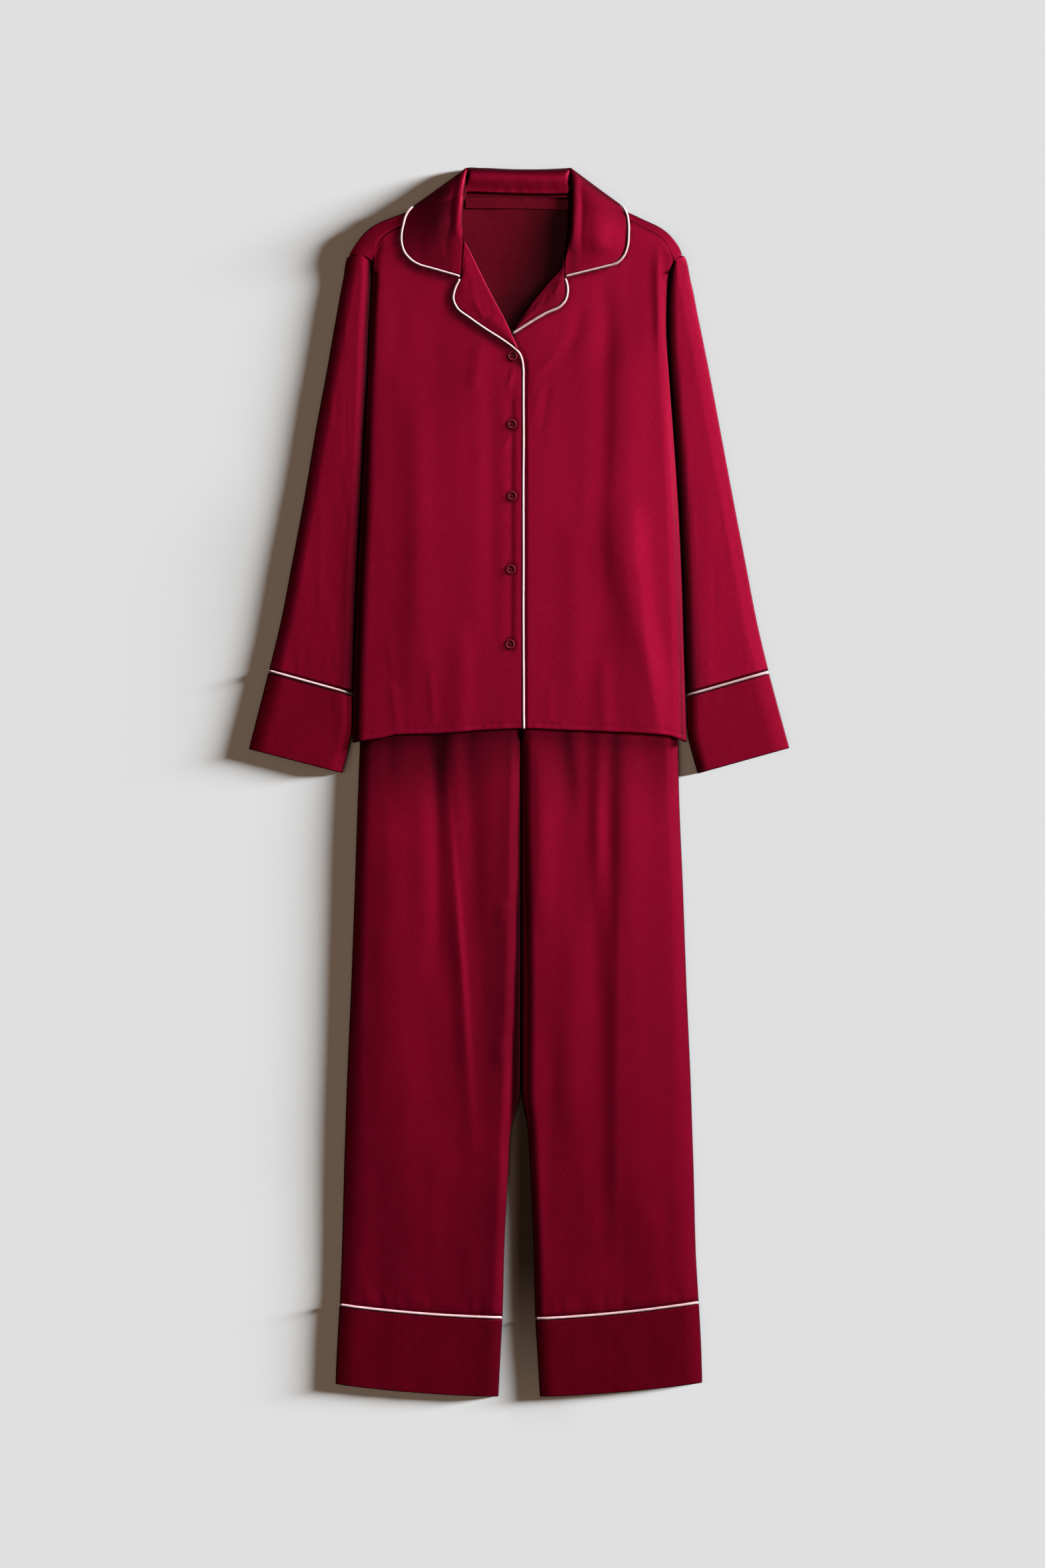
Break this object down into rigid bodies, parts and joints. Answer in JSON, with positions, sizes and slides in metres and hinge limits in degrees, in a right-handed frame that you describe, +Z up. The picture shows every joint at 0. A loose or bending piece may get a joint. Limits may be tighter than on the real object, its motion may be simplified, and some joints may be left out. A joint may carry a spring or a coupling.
{
  "type": "pyjama set",
  "caption": "Long-sleeved button-front satin pyjama shirt with camp collar and piping, lying flat over its matching straight-leg trousers.",
  "frame": {"origin": "centre of the laid set's outline, on the surface that it lies on", "axes": "+X towards the wearer's left sleeve, +Y from the trouser cuffs to the collar, +Z up from the surface that the set lies on"},
  "size_m": [0.609, 1.3848, 0.0165],
  "materials": {
    "burgundy_satin": "smooth satin with a soft sheen",
    "burgundy_satin_inside": "duller wrong side of the satin",
    "blush_piping": "satin-covered cord",
    "wine_button": "polished resin"
  },
  "bodies": {
    "root": {"shirt_back": "burgundy_satin_inside", "shirt_front_right": "burgundy_satin", "shirt_front_left": "burgundy_satin", "neck_tape": "burgundy_satin", "sleeve_right": "burgundy_satin", "sleeve_left": "burgundy_satin", "sleeve_cuff_right": "burgundy_satin", "sleeve_cuff_left": "burgundy_satin", "sleeve_cuff_piping_right": "blush_piping", "sleeve_cuff_piping_left": "blush_piping", "collar": "burgundy_satin", "collar_piping_right": "blush_piping", "collar_piping_left": "blush_piping", "lapel_right": "burgundy_satin", "lapel_left": "burgundy_satin", "front_piping_right": "blush_piping", "lapel_piping_left": "blush_piping", "button_1": "wine_button", "button_2": "wine_button", "button_3": "wine_button", "button_4": "wine_button", "button_5": "wine_button", "trouser_back_right": "burgundy_satin", "trouser_back_left": "burgundy_satin", "trouser_front_right": "burgundy_satin", "trouser_front_left": "burgundy_satin", "trouser_waistband": "burgundy_satin", "trouser_cuff_right": "burgundy_satin", "trouser_cuff_left": "burgundy_satin", "trouser_cuff_piping_right": "blush_piping", "trouser_cuff_piping_left": "blush_piping"}
  },
  "joints": []
}
